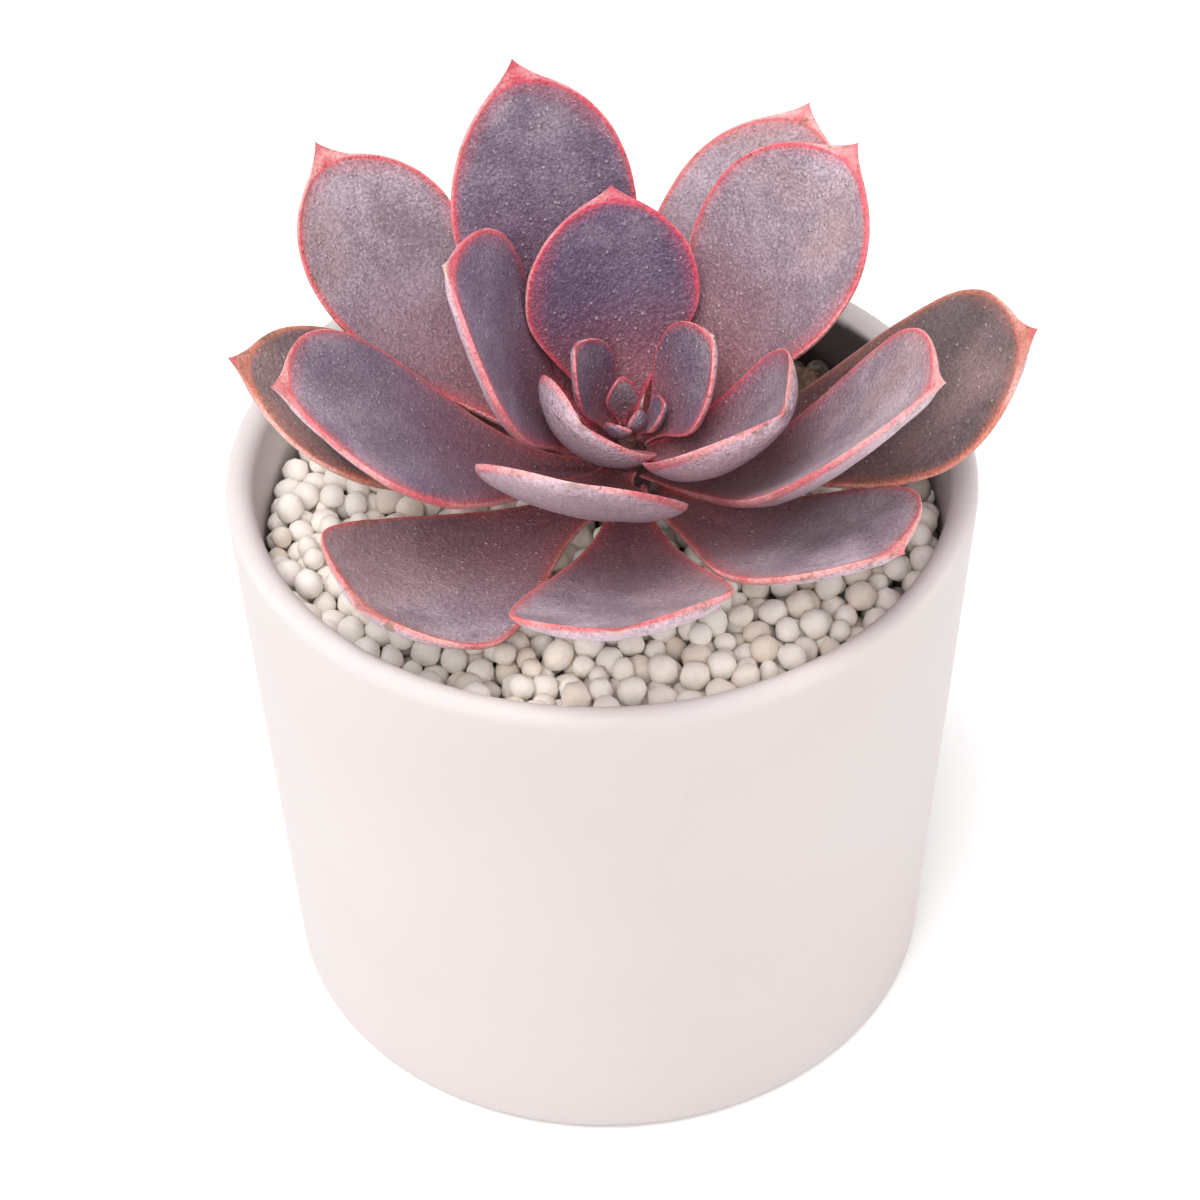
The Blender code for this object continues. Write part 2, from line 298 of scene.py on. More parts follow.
class Wiring:
    """Adds nodes to a tree and joins them up."""

    def __init__(self, tree):
        self.tree = tree

    def put(self, socket, value):
        """Joins a worked-out value to a socket, or sets the socket's own value."""
        if isinstance(value, Value):
            self.tree.links.new(value.socket, socket)
        elif isinstance(value, bpy.types.NodeSocket):
            self.tree.links.new(value, socket)
        else:
            socket.default_value = value

    def fill(self, node, values):
        """Joins or sets these inputs of a node, given by name or number."""
        for label, value in values.items():
            self.put(node.inputs[label], value)

    def node(self, kind, values=None, **settings):
        """A new node with these settings, and then these values on its inputs."""
        made = self.tree.nodes.new(kind)
        for setting, value in settings.items():
            setattr(made, setting, value)
        self.fill(made, values or {})
        return made

    def math(self, operation, *numbers):
        made = self.node("ShaderNodeMath", dict(enumerate(numbers)), operation=operation)
        return Value(self, made.outputs[0])

    def vector(self, operation, first, second=None, scale=None):
        values = {0: first, 1: second, "Scale": scale}
        given = {label: value for label, value in values.items() if value is not None}
        made = self.node("ShaderNodeVectorMath", given, operation=operation)
        return Value(self, made.outputs[0], True)

    def combine(self, operation, first, second):
        """Adds, subtracts or multiplies, as numbers or as vectors."""
        vectors = [v for v in (first, second) if isinstance(v, Value) and v.vector]
        if not vectors:
            return self.math(operation, first, second)
        if operation != "MULTIPLY":
            return self.vector(operation, first, second)
        other = second if vectors[0] is first else first
        return self.vector("SCALE", vectors[0], scale=other)

    def xyz(self, x, y, z):
        made = self.node("ShaderNodeCombineXYZ", {"X": x, "Y": y, "Z": z})
        return Value(self, made.outputs[0], True)

    def parts(self, vector):
        made = self.node("ShaderNodeSeparateXYZ", {0: vector})
        return [Value(self, socket) for socket in made.outputs]

    def ease(self, value, low, high, start=0.0, end=1.0):
        """Goes smoothly from start to end while the value goes from low to high."""
        ends = {"From Min": low, "From Max": high, "To Min": start, "To Max": end}
        values = {"Value": value, **ends}
        made = self.node("ShaderNodeMapRange", values, interpolation_type="SMOOTHSTEP")
        return Value(self, made.outputs[0])

    def noise(self, place, scale, detail=2.0, roughness=0.5):
        values = {"Vector": place, "Scale": scale, "Detail": detail, "Roughness": roughness}
        return Value(self, self.node("ShaderNodeTexNoise", values).outputs[0])

    def cells(self, place, scale, output="Distance"):
        made = self.node("ShaderNodeTexVoronoi", {"Vector": place, "Scale": scale})
        return Value(self, made.outputs[output])

    def blend(self, amount, first, second, blend_type="MIX"):
        """A colour between two."""
        made = self.node("ShaderNodeMix", {0: amount}, data_type="RGBA", blend_type=blend_type)
        for socket, value in ((made.inputs[6], first), (made.inputs[7], second)):
            self.put(socket, value if isinstance(value, Value) else (*value, 1.0))
        return Value(self, made.outputs[2])

    def attribute(self, name):
        made = self.node("ShaderNodeAttribute", attribute_name=name)
        return Value(self, made.outputs["Fac"])

    def place(self):
        made = self.node("ShaderNodeTexCoord")
        return Value(self, made.outputs["Object"], True)

    def read(self, kind):
        """The vector that an input node gives."""
        return Value(self, self.node(kind).outputs[0], True)


FLOAT = "NodeSocketFloat"
INT = "NodeSocketInt"
MATERIAL = "NodeSocketMaterial"


def shape_tree(name, inputs):
    """A Geometry Nodes tree with named inputs. It gives the wiring and the inputs."""
    tree = bpy.data.node_groups.new(name, "GeometryNodeTree")
    tree.interface.new_socket("Geometry", in_out="INPUT", socket_type="NodeSocketGeometry")
    for label, kind in inputs:
        tree.interface.new_socket(label, in_out="INPUT", socket_type=kind)
    tree.interface.new_socket("Geometry", in_out="OUTPUT", socket_type="NodeSocketGeometry")
    wiring = Wiring(tree)
    sockets = tree.nodes.new("NodeGroupInput").outputs
    labels = ["Geometry"] + [given[0] for given in inputs]
    return wiring, {label: Value(wiring, sockets[label]) for label in labels}


def end_tree(wiring, geometry, material):
    """Ends a tree in Realize Instances and Set Material."""
    real = wiring.node("GeometryNodeRealizeInstances", {"Geometry": geometry})
    smooth = wiring.node("GeometryNodeSetShadeSmooth", {"Geometry": real.outputs[0]})
    given = {"Geometry": smooth.outputs[0], "Material": material}
    painted = wiring.node("GeometryNodeSetMaterial", given)
    wiring.node("NodeGroupOutput", {0: painted.outputs[0]})


def new_object(name, mesh):
    obj = bpy.data.objects.new(name, mesh)
    bpy.context.scene.collection.objects.link(obj)
    return obj


def grow(name, tree, values, mesh=None):
    """Runs a tree with these inputs and keeps the result as a plain mesh."""
    obj = new_object(name, mesh or bpy.data.meshes.new(name))
    modifier = obj.modifiers.new("shape", "NODES")
    modifier.node_group = tree
    for item in tree.interface.items_tree:
        if item.in_out == "INPUT" and item.name in values:
            modifier[item.identifier] = values[item.name]
    bpy.context.view_layer.update()
    graph = bpy.context.evaluated_depsgraph_get()
    made = bpy.data.meshes.new_from_object(
        obj.evaluated_get(graph), preserve_all_data_layers=True, depsgraph=graph
    )
    if not made.polygons:
        raise RuntimeError(f"{name} came out empty")
    obj.modifiers.remove(modifier)
    obj.data = made
    made.name = name
    return obj


# Finishes. The scale of a noise or of cells is in lumps to a metre. In ease() the first pair of
# numbers are the values between which a feature comes in, the second its strength at each.

WAX_DOT = (0.72, 0.62, 0.66)
PAINTED_RIM_HIGHLIGHT = (1.0, 0.66, 0.62)  # painted highlight that the outer edge of a margin goes towards
DRY_POINT = (0.80, 0.62, 0.54)
LIVE_POINT = (0.55, 0.07, 0.11)
GLAZE_PIT = (0.45, 0.36, 0.32)
CLAY_SPECK = (0.42, 0.31, 0.24)
BARK_BIT = (0.22, 0.13, 0.075)
DAMP_SOIL = (0.02, 0.012, 0.008)
SHADED_SIDE = (0.45, 0.89)  # the painted shade lies behind the plant, a little to the right


def towards_shaded_side(x, y):
    """How far a place lies towards the side of the painted shade."""
    return x * SHADED_SIDE[0] + y * SHADED_SIDE[1]


def new_finish(name):
    """A material with an empty surface. It gives the material, its wiring and its shader."""
    material = bpy.data.materials.new(name)
    material.use_nodes = True
    wiring = Wiring(material.node_tree)
    return material, wiring, material.node_tree.nodes["Principled BSDF"]


def raise_surface(wiring, shader, height, distance, strength=1.0):
    values = {"Height": height, "Distance": distance, "Strength": strength}
    wiring.put(shader.inputs["Normal"], wiring.node("ShaderNodeBump", values).outputs[0])


def leaf_skin(name, settings):
    """Waxy skin: speckled, paler below, flushed at the neck, with a coloured margin and a painted
    highlight on its edge.
    """
    material, w, shader = new_finish(name)
    place = w.place()
    along, margin, upper = map(w.attribute, ("along", "margin", "upper"))
    age, rim_age, dry_tip, paleness = map(w.attribute, ("age", "rim_age", "dry_tip", "paleness"))
    clouds = w.noise(place, 55.0, 3.0)
    patches = w.noise(place, 140.0, 3.0, 0.6)
    grain = w.noise(place, 1100.0, 3.0, 0.65)
    fine = w.noise(place, 2600.0, 2.0)

    worn = age + (clouds - 0.5) * 0.4
    skin = w.blend(w.ease(worn, 0.05, 0.55), settings.young, settings.grown)
    skin = w.blend(w.ease(worn, 0.72, 1.02), skin, settings.old)
    bloom = w.ease(patches + (fine - 0.5) * 0.3, 0.32, 0.70, 0.18, 0.72)
    bloom = bloom * w.ease(along, 0.32, 0.95, 0.08, 1.35)
    bloom = bloom * w.ease(age, 1.0, 0.7, 0.15, 1.0) * w.ease(age, 0.05, 0.5, 0.3, 1.0)
    skin = w.blend(bloom, skin, settings.bloom)
    warmth = w.noise(w.vector("ADD", place, (0.3, 0.1, 0.2)), 42.0, 2.0)
    russet = w.ease(warmth + (patches - 0.5) * 0.25, 0.46, 0.66, 0.0, 0.6) * w.ease(age, 0.25, 0.6)
    skin = w.blend(russet, skin, settings.russet)
    flush = w.ease(along + (clouds - 0.5) * 0.3, 0.70, 0.12, 0.0, 0.8)
    skin = w.blend(flush, skin, settings.flush)
    below = w.ease(upper, 0.02, -0.30)
    pale_under = below * w.ease(age, 0.2, 0.9, 0.95, 0.68) * paleness
    skin = w.blend(pale_under, skin, settings.under)
    fleck = w.ease(fine, 0.60, 0.72, 0.0, 0.25)
    skin = w.blend(fleck * w.ease(age, 1.0, 0.7, 0.2, 1.0), skin, settings.bloom)

    dots = w.cells(place, 760.0)
    chosen = w.ease(w.noise(place, 900.0, 0.0), 0.40, 0.52)
    dot = w.ease(dots, 0.24, 0.10) * chosen
    skin = w.blend(dot * 0.38, skin, WAX_DOT)

    near = margin + (patches - 0.5) * 0.6 * MM
    wide = w.ease(clouds, 0.35, 0.65, 1.6 * MM, 4.2 * MM)
    blush = w.ease(near, wide, 0.1 * MM, 0.0, 0.36)
    above = w.ease(upper, -0.62, -0.22)
    rim = w.ease(near, settings.rim_width * 1.8, settings.rim_width * 0.8) * above
    rim_colour = w.blend(rim_age, settings.rim_pink, settings.rim_orange)
    highlit_rim_colour = w.blend(0.45, rim_colour, PAINTED_RIM_HIGHLIGHT)
    # Painted highlight: the outermost edge of the margin is paled in patches, as if it caught the
    # light.
    rim_highlight_mask = w.ease(margin + (grain - 0.5) * 0.3 * MM, 0.40 * MM, 0.10 * MM)
    rim_highlight_mask = rim_highlight_mask * w.ease(clouds + (patches - 0.5) * 0.6, 0.40, 0.62, 0.15, 1.0)
    skin = w.blend(blush * (1.0 - below * 0.9), skin, rim_colour)
    skin = w.blend(rim * 0.92, skin, w.blend(rim_highlight_mask, rim_colour, highlit_rim_colour))
    mottle = w.ease(grain * 0.35 + fine * 0.65, 0.36, 0.64, 0.78, 1.20)
    skin = w.blend(1.0, skin, w.xyz(mottle, mottle, mottle), "MULTIPLY")
    scuffs = w.ease(w.noise(place, 320.0, 4.0, 0.7), 0.58, 0.66)
    scuffs = scuffs * w.ease(margin, 2.0 * MM, 0.3 * MM)
    skin = w.blend(scuffs * w.ease(age, 0.0, 1.0, 0.35, 0.95), skin, settings.dry)
    tip = w.ease(along, 0.962, 0.985)
    skin = w.blend(tip * dry_tip, skin, DRY_POINT)
    skin = w.blend(tip * (1.0 - dry_tip) * 0.7, skin, LIVE_POINT)
    shine = w.ease(patches + (fine - 0.5) * 0.3, 0.3, 0.7, 0.36, 0.52)
    surface = {
        "Base Color": skin,
        "Roughness": shine,
        "Specular IOR Level": 0.42,
        "Subsurface Weight": 0.12,
        "Subsurface Radius": (1.0, 0.35, 0.25),
        "Subsurface Scale": 1.5 * MM,
        "Sheen Weight": 0.06,
        "Sheen Roughness": 0.5,
    }
    w.fill(shader, surface)
    relief = grain * 0.8 + fine * 0.5 + dot * 0.6
    raise_surface(w, shader, relief, 0.34 * MM, 1.0)
    return material


def pot_glaze(settings):
    """Matt glaze with painted shade on the inner wall behind the plant, bare under the foot."""
    material, w, shader = new_finish("pot_glaze")
    place = w.place()
    x, y, z = w.parts(place)
    clouds = w.noise(place, 28.0, 3.0)
    grain = w.noise(place, 1500.0, 3.0, 0.6)
    glaze = w.blend(w.ease(clouds, 0.35, 0.7), settings.glaze, settings.glaze_warm)
    pits = w.ease(w.cells(place, 420.0), 0.09, 0.03) * w.ease(w.noise(place, 300.0, 0.0), 0.6, 0.7)
    glaze = w.blend(pits * 0.35, glaze, GLAZE_PIT)
    side = settings.base_radius + z * ((POT_HIGH[0] - settings.base_radius) / POT_HIGH[2])
    depth = side - w.math("SQRT", x * x + y * y)
    inside = w.ease(depth, settings.wall * 0.65, settings.wall * 0.95)
    # Painted shade: the inner wall behind the plant, from a little below the rim down, is darkened
    # nearly to black.
    behind = w.ease(towards_shaded_side(x, y) + (clouds - 0.5) * 10 * MM, 22 * MM, 34 * MM)
    edge = z + (w.noise(place, 180.0, 4.0, 0.7) - 0.5) * 2 * MM
    low = w.ease(edge, POT_HIGH[2] - 0.8 * MM, POT_HIGH[2] - 2.6 * MM)
    glaze = w.blend(inside * behind * low * 0.96, glaze, settings.soil_stain)
    foot = w.ease(z + (clouds - 0.5) * 0.3 * MM, 0.45 * MM, 0.15 * MM)
    colour = w.blend(foot, glaze, settings.clay)
    rough = w.ease(grain, 0.3, 0.7, 0.46, 0.56) + foot * 0.3
    w.fill(shader, {"Base Color": colour, "Roughness": rough, "Specular IOR Level": 0.4})
    raise_surface(w, shader, grain * 0.5 + clouds * 3.0 - pits * 0.8, 0.05 * MM, 0.6)
    return material


def bead_clay(settings):
    """Chalky clay, a little different on each bead, with painted shade behind the plant and on the
    lower beads.
    """
    material, w, shader = new_finish("bead_clay")
    place = w.place()
    x, y, z = w.parts(place)
    tint = w.attribute("tint")
    grain = w.noise(place, 900.0, 4.0, 0.6)
    shade = w.ease(tint + (grain - 0.5) * 0.7, 0.25, 1.15)
    clay = w.blend(shade, settings.pale, settings.deep)
    specks = w.ease(w.noise(place, 2400.0, 2.0), 0.66, 0.74)
    clay = w.blend(specks * 0.3, clay, CLAY_SPECK)
    # Painted shade: beads behind the plant, a little to the right, are darkened nearly to the mix
    # colour.
    shade_behind_plant = w.ease(towards_shaded_side(x, y) + (tint - 0.5) * 8 * MM, 16 * MM, 30 * MM)
    clay = w.blend(shade_behind_plant * w.ease(grain, 0.2, 0.6, 0.80, 0.97), clay, settings.soil)
    # Painted shade: beads lying lower than the top of the bed, in the gaps between the top ones,
    # are darkened towards the mix colour.
    deep = w.ease(z, BED_HIGH[2] - 4.6 * MM, BED_HIGH[2] - 7.5 * MM)
    clay = w.blend(deep * 0.8, clay, settings.soil)
    surface = {
        "Base Color": clay,
        "Roughness": w.ease(grain, 0.3, 0.7, 0.62, 0.80),
        "Specular IOR Level": 0.3,
        "Subsurface Weight": 0.06,
        "Subsurface Scale": 1.0 * MM,
    }
    w.fill(shader, surface)
    raise_surface(w, shader, grain, 0.18 * MM, 0.6)
    return material


def soil_mix(settings):
    """Dark crumbs with lighter bits of bark and grit."""
    material, w, shader = new_finish("potting_mix")
    place = w.place()
    grain = w.noise(place, 600.0, 5.0, 0.7)
    bits = w.cells(place, 500.0, output="Color")
    light = w.ease(w.parts(bits)[0], 0.78, 0.95)
    soil = w.blend(light * 0.7, settings.soil, BARK_BIT)
    soil = w.blend(w.ease(grain, 0.35, 0.7, 0.0, 0.6), soil, DAMP_SOIL)
    w.fill(shader, {"Base Color": soil, "Roughness": w.ease(grain, 0.3, 0.7, 0.8, 0.98)})
    raise_surface(w, shader, grain, 0.5 * MM)
    return material


def dry_skin(name, pale, dark):
    """Corky or papery skin with fine streaks across."""
    material, w, shader = new_finish(name)
    place = w.place()
    streaks = w.noise(w.vector("MULTIPLY", place, (1.0, 1.0, 3.5)), 450.0, 4.0, 0.65)
    clouds = w.noise(place, 120.0, 3.0)
    skin = w.blend(w.ease(streaks + (clouds - 0.5) * 0.5, 0.3, 0.7), dark, pale)
    w.fill(shader, {"Base Color": skin, "Roughness": w.ease(clouds, 0.3, 0.7, 0.65, 0.9)})
    raise_surface(w, shader, streaks, 0.35 * MM)
    return material


def darker(colour, share):
    """A colour with this share of its light."""
    return tuple(part * share for part in colour)


def plain_floor(settings):
    """Matt pale floor with a faint unevenness."""
    material, w, shader = new_finish("pale_floor")
    clouds = w.noise(w.place(), 9.0, 2.0)
    colour = w.blend(clouds * 0.1, settings.floor, darker(settings.floor, 0.97))
    w.fill(shader, {"Base Color": colour, "Roughness": 0.85, "Specular IOR Level": 0.1})
    return material


# Leaves

LEAF_NUMBERS = (
    *("Stem X", "Neck radius", "Seat", "Heading", "Reach", "Rise", "Neck lift", "Point lift"),
    *("Width", "Widest", "Cup", "Roll", "Sway", "Ripple", "Shape seed"),
    *("Age", "Rim age", "Dry tip"),
)
LEAF_INPUTS = (
    ("Steps along", INT),
    ("Steps round", INT),
    *((label, FLOAT) for label in LEAF_NUMBERS),
    ("Skin", MATERIAL),
)


def leaf_tree():
    """A closed leaf blade: rings round a bent centre line, from the neck to the point."""
    w, given = shape_tree("leaf_blade", LEAF_INPUTS)
    steps = given["Steps along"]
    counts = {"Vertices X": steps + 2.0, "Vertices Y": given["Steps round"] + 1.0}
    grid = w.node("GeometryNodeMeshGrid", {"Size X": 1.0, "Size Y": 1.0, **counts})
    at = w.read("GeometryNodeInputPosition")
    column, turn, _ = w.parts(at)
    ring = (column + 0.5) * (steps + 1.0) - 1.0
    blade = w.math("GREATER_THAN", ring, -0.5)
    u = 1.0 - (1.0 - w.math("MAXIMUM", ring, 0.0) / steps) ** RING_CROWDING
    angle = turn * (2 * pi)
    cosine = w.math("COSINE", angle)
    sine = w.math("SINE", angle)
    side = w.math("SIGN", cosine)
    upper = w.math("SIGN", sine)
    across_share = w.math("ABSOLUTE", cosine) ** (2 / EDGE_POWER)
    depth_share = w.math("ABSOLUTE", sine) ** (2 / EDGE_POWER)

    # Outline: a sine to the widest place, then a blunt curve that ends in a small point.
    widest = given["Widest"]
    swelling = w.math("SINE", w.math("MINIMUM", u / widest, 1.0) * (pi / 2))
    first_part = NECK_SHARE + swelling * swelling * (1.0 - NECK_SHARE)
    past = w.math("MINIMUM", w.math("MAXIMUM", (u - widest) / (BLADE_END - widest), 0.0), 1.0)
    power = w.ease(given["Width"], *BUD_WIDTHS, BUD_POWER, BLADE_POWER)
    blunt = w.math("SQRT", w.math("MAXIMUM", 1.0 - past**power, 0.0))
    left = w.math("MINIMUM", (1.0 - u) / (1.0 - BLADE_END), 1.0)
    point = left**HOOK_POWER * past**HOOK_RISE * HOOK_SHARE
    second_part = w.math("SQRT", blunt * blunt + point * point)
    beyond = w.math("GREATER_THAN", u, widest)
    outline = first_part * (1.0 - beyond) + second_part * beyond

    # The margin wanders a little, with its own swells on each side.
    wander_at = w.xyz(u * 5.0, side * 3.0, given["Shape seed"])
    wander = (w.noise(wander_at, 1.0, 2.0) - 0.5) * WANDER
    half = given["Width"] * outline * (1.0 + wander) * blade * 0.5
    full = LEAF_THIN + given["Width"] * LEAF_THICKEN
    along_thick = THIN_END + w.math("SINE", u * pi) * (1.0 - THIN_END)
    near_point = w.math("MINIMUM", outline / (POINT_THINNING * POINT_SHARE), 1.0)
    thick = full * along_thick * near_point * blade

    # Centre line: a cubic curve in the upright plane of the heading.
    reach = given["Reach"]
    rise = given["Rise"]
    span = w.math("SQRT", reach * reach + rise * rise)
    end = w.xyz(reach, 0.0, rise)
    near = w.xyz(w.math("COSINE", given["Neck lift"]), 0.0, w.math("SINE", given["Neck lift"]))
    far = w.xyz(w.math("COSINE", given["Point lift"]), 0.0, w.math("SINE", given["Point lift"]))
    first = near * (span * HANDLE)
    second = end - far * (span * HANDLE)
    v = 1.0 - u
    place = first * (v * v * u * 3.0) + second * (v * u * u * 3.0) + end * (u * u * u)
    slope = first * (v * v * 3.0) + (second - first) * (v * u * 6.0)
    slope = slope + (end - second) * (u * u * 3.0)
    sideways = w.xyz(0.0, 1.0, 0.0)
    centre = place + sideways * (given["Sway"] * u * u)
    tangent = w.vector("NORMALIZE", slope + sideways * (given["Sway"] * u * 2.0))
    normal = w.vector("NORMALIZE", w.vector("CROSS_PRODUCT", slope, sideways))
    across = w.vector("NORMALIZE", w.vector("CROSS_PRODUCT", normal, tangent))
    lean = given["Roll"] * u
    lean_cos = w.math("COSINE", lean)
    lean_sin = w.math("SINE", lean)
    turned_normal = normal * lean_cos - across * lean_sin
    turned_across = across * lean_cos + normal * lean_sin

    # Section: a cupped arc with the thickness laid on it, more of it below.
    cup = given["Cup"]
    cup_angle = cup * across_share
    wide = half * side * w.math("SINE", cup_angle) / cup
    high = half * (1.0 - w.math("COSINE", cup_angle)) / cup
    layer = w.math("MULTIPLY_ADD", upper, 0.5, UPPER_SHARE - 0.5)
    section = turned_across * wide + turned_normal * (high + thick * depth_share * layer)
    local = centre + section

    swell_at = w.vector("ADD", local, w.xyz(given["Shape seed"], 0.0, 0.0))
    inner = w.ease(across_share, 1.0, 0.75) * w.ease(u, 0.05, 0.3)
    swell = (w.noise(swell_at, SWELL_SCALE, 2.0) - 0.5) * given["Ripple"] * 2.0 * inner
    channel = w.ease(across_share, CHANNEL_SHARE, 0.0) * w.ease(u, 0.95, 0.3)
    channel = channel * w.ease(upper, 0.0, 1.0)
    local = local + turned_normal * (swell - channel * given["Ripple"])

    outward = local + w.xyz(given["Neck radius"], 0.0, 0.0)
    way = {"Vector": outward, "Angle": given["Heading"]}
    spun = w.node("ShaderNodeVectorRotate", way, rotation_type="Z_AXIS")
    placed = Value(w, spun.outputs[0], True) + w.xyz(given["Stem X"], 0.0, given["Seat"])

    # Distance to the margin, allowing for how steeply the outline closes near the point.
    steep = past ** (power - 1.0) * (power * 0.5) / w.math("MAXIMUM", blunt, 0.12)
    steep = given["Width"] * 0.5 * steep / ((BLADE_END - widest) * span)
    margin = half * (1.0 - across_share) / w.math("SQRT", 1.0 + steep * steep)
    margin = margin * w.ease(given["Width"], *RIM_WIDTHS, 1.0, RIM_NARROWING)

    geometry = grid.outputs["Mesh"]
    for label, value in (
        ("along", u),
        ("margin", margin),
        ("upper", upper * depth_share),
        ("age", given["Age"]),
        ("rim_age", given["Rim age"]),
        ("dry_tip", given["Dry tip"]),
        ("paleness", w.ease(given["Width"], *PALE_WIDTHS)),
    ):
        values = {"Geometry": geometry, "Name": label, "Value": value}
        kept = w.node("GeometryNodeStoreNamedAttribute", values, data_type="FLOAT", domain="POINT")
        geometry = kept.outputs[0]
    moved = w.node("GeometryNodeSetPosition", {"Geometry": geometry, "Position": placed})
    near = {"Geometry": moved.outputs[0], "Distance": WELD}
    end_tree(w, w.node("GeometryNodeMergeByDistance", near).outputs[0], given["Skin"])
    return w.tree


def stem_side(z):
    """Radius of the stem above the beads at a height."""
    part = min(max((z - BED_HIGH[2]) / (STEM_HIGH[2] - BED_HIGH[2]), 0.0), 1.0)
    return STEM_RADIUS + (STEM_TIP_RADIUS - STEM_RADIUS) * part


def leaf_values(leaf, number, seat, neck_radius, settings, skin):
    """Inputs of the leaf tree for one leaf."""
    coarser = 2 if leaf.width < SMALL_LEAF else 1
    values = {
        "Steps along": settings.steps_along // coarser,
        "Steps round": settings.steps_round // coarser,
        "Stem X": STEM_X,
        "Neck radius": neck_radius,
        "Seat": seat,
        "Ripple": settings.ripple * leaf.width / USUAL_WIDTH,
        "Shape seed": number * SHAPE_STEP,
        "Skin": skin,
    }
    for field, value in leaf._asdict().items():
        if field in ("reach", "rise", "width", "sway"):
            value = value * MM
        if field in ("heading", "neck_lift", "point_lift", "cup", "roll"):
            value = radians(value)
        values[field.replace("_", " ").capitalize()] = float(value)
    return values


class SUCCULENT_OT_leaves(bpy.types.Operator):
    """Grow the 22 leaves of the rosette"""

    bl_idname = "succulent.leaves"
    bl_label = "Leaves"

    def execute(self, context):
        settings = context.scene.succulent_leaves
        tree = leaf_tree()
        skins = {slot: leaf_skin(slot + "_skin", settings) for slot in ("leaf_outer", "leaf_inner")}
        slots = {p["node"]: p["material_slot"] for p in frame["record"]["subparts"]}
        for number, leaf in enumerate(LEAVES):
            node = f"leaf_{number + 1:02d}"
            seat = BED_HIGH[2] + LOWEST_SEAT + SEAT_PITCH * number
            thick = (LEAF_THIN + LEAF_THICKEN * leaf.width * MM) * THIN_END
            thick *= min(1.0, NECK_SHARE / (POINT_THINNING * POINT_SHARE))
            neck = stem_side(seat) + GAP + thick / 2
            values = leaf_values(leaf, number, seat, neck, settings, skins[slots[node]])
            piece = grow(node + "_blade", tree, values)
            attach(piece, "root")
            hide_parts(node)
        return {"FINISHED"}


# Pot


def arc(centre_r, centre_z, radius, start, end, steps):
    """Points of an arc in a (radius, height) outline, angles in degrees."""
    angles = [radians(start + (end - start) * i / steps) for i in range(steps + 1)]
    return [(centre_r + radius * cos(a), centre_z + radius * sin(a)) for a in angles]


def turned(name, outline, sides, material, x=0.0):
    """A closed solid: an outline of (radius, height) points spun about an upright axis.

    The outline starts and ends on the axis, and runs out along the underside first.
    """
    points = []
    rings = []
    for radius, height in outline:
        count = sides if radius > ON_AXIS else 1
        rings.append(range(len(points), len(points) + count))
        turns = [2 * pi * i / sides for i in range(count)]
        points += [(x + radius * cos(turn), radius * sin(turn), height) for turn in turns]
    faces = []
    for low, high in zip(rings, rings[1:]):
        for i in range(sides):
            after = (i + 1) % sides
            below = (low[i], low[after]) if len(low) > 1 else (low[0],)
            above = (high[after], high[i]) if len(high) > 1 else (high[0],)
            faces.append(below + above)
    mesh = bpy.data.meshes.new(name)
    mesh.from_pydata(points, [], faces)
    mesh.shade_smooth()
    mesh.set_sharp_from_angle(angle=radians(CRISP))
    mesh.materials.append(material)
    return new_object(name, mesh)


def straight(start, end, steps):
    """Points between two (radius, height) points, both left out."""
    return [
        (start[0] + (end[0] - start[0]) * i / steps, start[1] + (end[1] - start[1]) * i / steps)
        for i in range(1, steps)
    ]


class SUCCULENT_OT_pot(bpy.types.Operator):
    """Turn the pot"""

    bl_idname = "succulent.pot"
    bl_label = "Pot"

    def execute(self, context):
        s = context.scene.succulent_pot
        height = POT_HIGH[2]

        def side(z):
            return s.base_radius + (POT_HIGH[0] - s.base_radius + SIDE_TRIM) * z / height

        foot = arc(side(s.foot_round) - s.foot_round, s.foot_round, s.foot_round, -90, 0, 8)
        rim_round = s.wall / 2
        shoulder = height - rim_round
        rim = arc(side(shoulder) - rim_round, shoulder, rim_round, 0, 180, 24)
        inner_z = s.floor + s.inner_round
        inner = arc(side(inner_z) - s.wall - s.inner_round, inner_z, s.inner_round, 0, -90, 8)
        outline = [(0.0, 0.0)] + foot + straight(foot[-1], rim[0], 12) + rim
        outline += straight(rim[-1], inner[0], 12) + inner + [(0.0, s.floor)]
        pot = turned("pot_body", outline, s.sides, pot_glaze(s))
        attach(pot, "root")
        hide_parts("pot")
        return {"FINISHED"}


# Beads and mix

NEIGHBOUR_ROUNDS = 6  # rounds between two looks for which beads are close
NEIGHBOUR_REACH = 1.5  # how far apart those may be, in diameters of the largest bead
PUSHES = 3  # times that touching beads part in a round
SINK = 0.12 * MM  # how far the beads sink in the first round; later ones sink less
RING_SHARES = (0.02, 0.95)  # of the pot's area, where beads are dropped
DROP_SHARES = (0.2, 1.3)  # of the bed's height, from where they are dropped
LEVEL_SHARE = 0.93  # of the beads end below the top of the bed
PROUD = 0.3 * MM  # how far the rest may stand above it
TINT_POWER = 1.6  # above 1, so that pale beads are the most common


